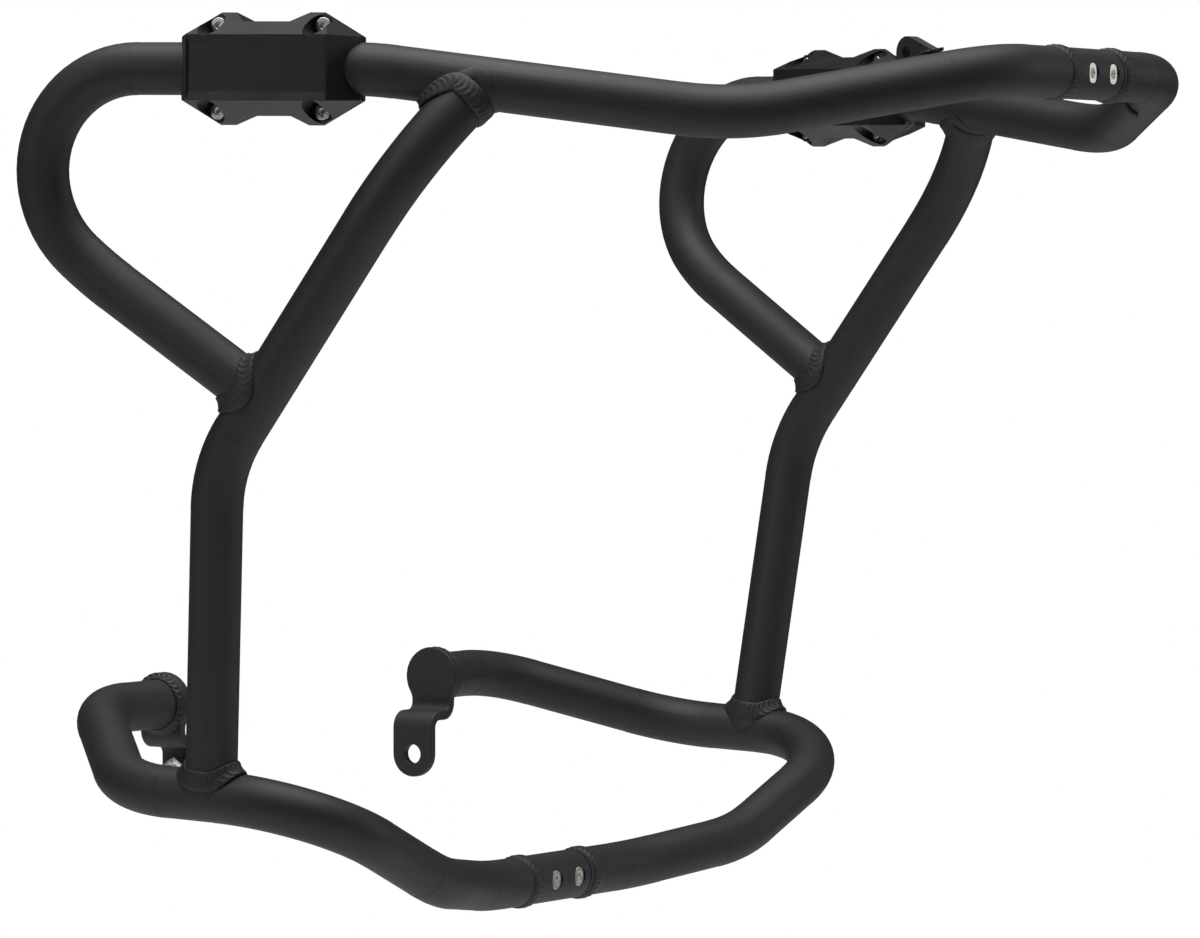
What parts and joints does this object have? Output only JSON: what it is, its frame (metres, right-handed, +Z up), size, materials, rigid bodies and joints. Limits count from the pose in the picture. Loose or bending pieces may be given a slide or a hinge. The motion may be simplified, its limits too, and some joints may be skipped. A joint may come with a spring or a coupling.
{
  "type": "motorcycle crash bars",
  "caption": "Mirrored engine guard of bent and welded steel tube, split on the middle plane by half-lap joints, with a moulded clamp on each upper rail.",
  "frame": {"origin": "middle of the common axis of the two lower bracket bolt holes, on the middle plane of the motorcycle", "axes": "+X to the rider's left, -Y to the front of the motorcycle, +Z up"},
  "size_m": [0.6338, 0.4945, 0.4516],
  "materials": {
    "powder_coat": "fine-textured matte black powder coat",
    "moulded_plastic": "satin black moulded nylon",
    "screw_steel": "bare stainless steel, turned",
    "dark_steel": "blackened steel",
    "bare_steel": "bright zinc plated steel"
  },
  "bodies": {
    "root": {"right_upper_rail": "powder_coat", "right_post": "powder_coat", "right_lower_rail": "powder_coat", "right_lower_bracket": "powder_coat", "right_upper_tab": "powder_coat", "right_upper_insert": "powder_coat", "right_lower_insert": "powder_coat", "right_post_top_weld": "powder_coat", "right_loop_end_weld": "powder_coat", "right_post_foot_weld": "powder_coat", "right_bracket_weld": "powder_coat", "right_tab_weld": "powder_coat", "right_upper_ring_weld": "powder_coat", "right_lower_ring_weld": "powder_coat", "right_clamp_outer_shell": "moulded_plastic", "right_clamp_inner_shell": "moulded_plastic", "right_clamp_screws": "screw_steel", "right_clamp_nuts": "dark_steel", "left_upper_rail": "powder_coat", "left_post": "powder_coat", "left_lower_rail": "powder_coat", "left_lower_bracket": "powder_coat", "left_upper_tab": "powder_coat", "left_upper_insert": "powder_coat", "left_lower_insert": "powder_coat", "left_post_top_weld": "powder_coat", "left_loop_end_weld": "powder_coat", "left_post_foot_weld": "powder_coat", "left_bracket_weld": "powder_coat", "left_tab_weld": "powder_coat", "left_upper_ring_weld": "powder_coat", "left_lower_ring_weld": "powder_coat", "left_clamp_outer_shell": "moulded_plastic", "left_clamp_inner_shell": "moulded_plastic", "left_clamp_screws": "screw_steel", "left_clamp_nuts": "dark_steel", "upper_joint_screws": "screw_steel", "lower_joint_screws": "screw_steel", "right_bracket_spacer": "bare_steel"}
  },
  "joints": []
}
